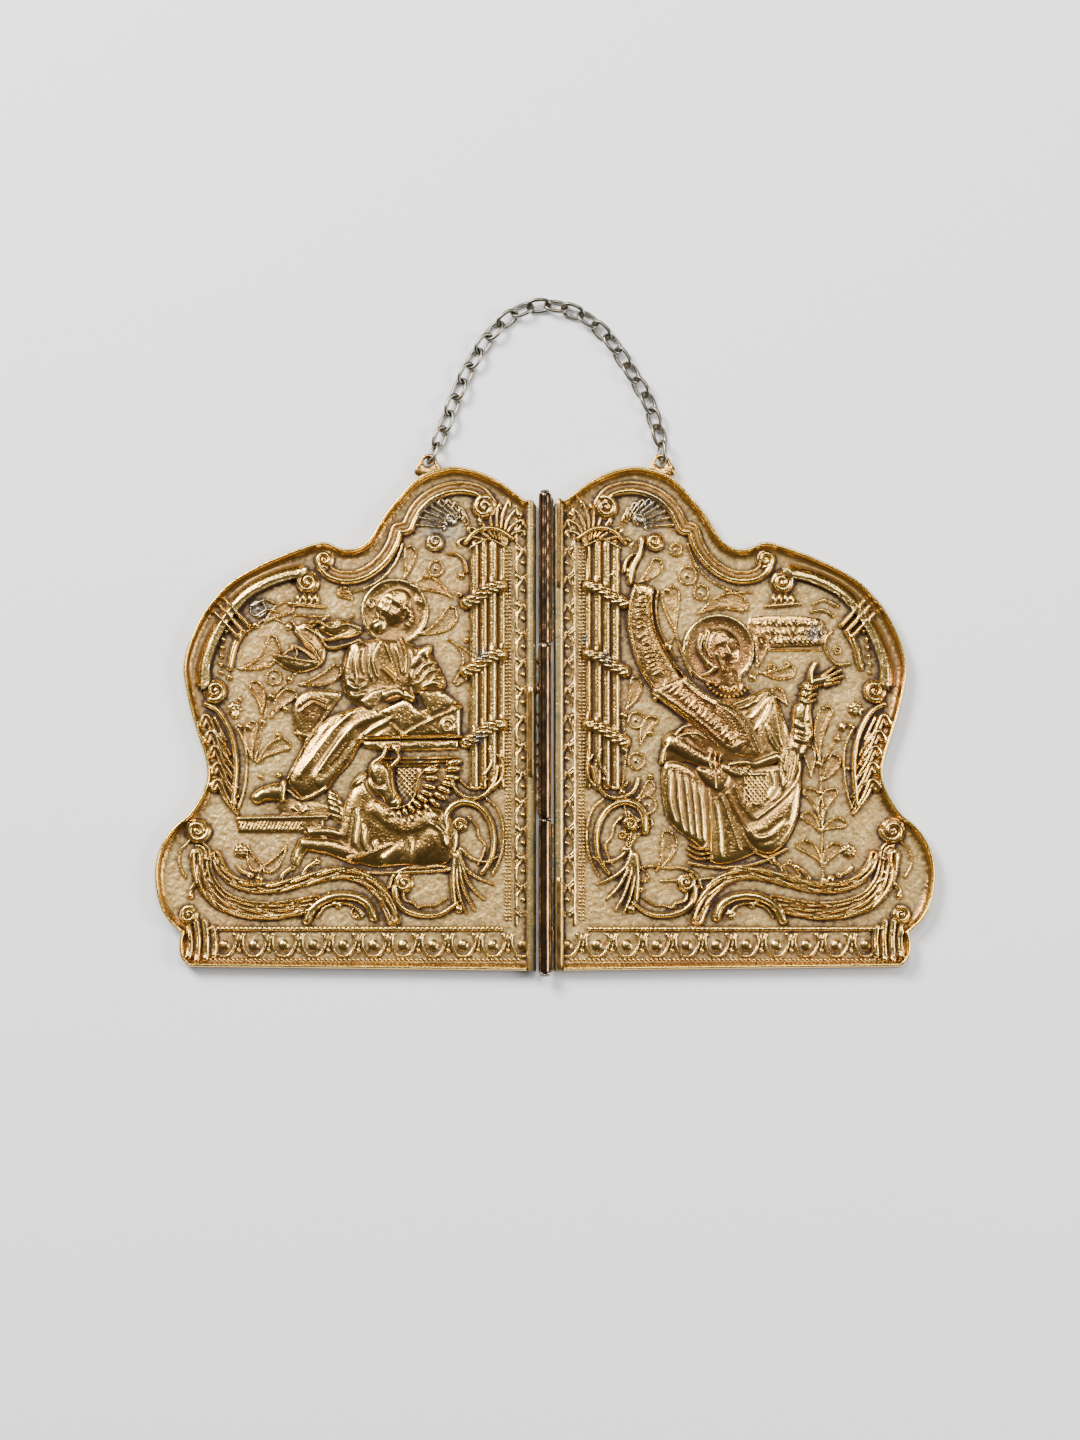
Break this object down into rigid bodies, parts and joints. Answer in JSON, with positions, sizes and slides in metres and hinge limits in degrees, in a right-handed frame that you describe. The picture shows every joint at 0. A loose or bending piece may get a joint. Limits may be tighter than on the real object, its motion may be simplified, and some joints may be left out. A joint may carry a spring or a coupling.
{
  "type": "travel icon",
  "caption": "Folding travel icon: two cast brass relief leaves on a pinned tube hinge, with a carrying chain between two lugs, lying open on its back.",
  "frame": {"origin": "on the surface it lies on, under the centre of the bounding box of the open icon and its chain", "axes": "+X across the two leaves, towards the leaf that carries the outer hinge knuckles; +Y from the foot towards the chain; +Z out of the relief"},
  "size_m": [0.1704, 0.151, 0.005],
  "materials": {
    "cast_brass": "cast, worn bright on the high relief and brown in the hollows",
    "hinge_copper": "smooth drawn tube, brown, with verdigris at the solder",
    "hinge_pin": "dull wire, peened ends",
    "chain_steel": "dull grey wire with worn highlights"
  },
  "bodies": {
    "left_leaf": {"leaf_left": "cast_brass", "hinge_knuckle_middle": "hinge_copper", "chain_link_01": "chain_steel", "chain_link_02": "chain_steel", "chain_link_03": "chain_steel", "chain_link_04": "chain_steel", "chain_link_05": "chain_steel", "chain_link_06": "chain_steel", "chain_link_07": "chain_steel", "chain_link_08": "chain_steel", "chain_link_09": "chain_steel", "chain_link_10": "chain_steel", "chain_link_11": "chain_steel", "chain_link_12": "chain_steel"},
    "right_leaf": {"leaf_right": "cast_brass", "hinge_knuckle_top": "hinge_copper", "hinge_knuckle_bottom": "hinge_copper", "hinge_pin": "hinge_pin", "chain_link_13": "chain_steel", "chain_link_14": "chain_steel", "chain_link_15": "chain_steel", "chain_link_16": "chain_steel", "chain_link_17": "chain_steel", "chain_link_18": "chain_steel", "chain_link_19": "chain_steel", "chain_link_20": "chain_steel", "chain_link_21": "chain_steel", "chain_link_22": "chain_steel", "chain_link_23": "chain_steel", "chain_link_24": "chain_steel"}
  },
  "joints": [
    {"name": "leaf_hinge", "type": "hinge", "parent": "left_leaf", "child": "right_leaf", "pos_m": [0, 0, 0.0036], "axis": [0, -1, 0], "range_deg": [-30, 180], "deforming": ["chain_link_01", "chain_link_02", "chain_link_03", "chain_link_04", "chain_link_05", "chain_link_06", "chain_link_07", "chain_link_08", "chain_link_09", "chain_link_10", "chain_link_11", "chain_link_12", "chain_link_13", "chain_link_14", "chain_link_15", "chain_link_16", "chain_link_17", "chain_link_18", "chain_link_19", "chain_link_20", "chain_link_21", "chain_link_22", "chain_link_23", "chain_link_24"]}
  ]
}
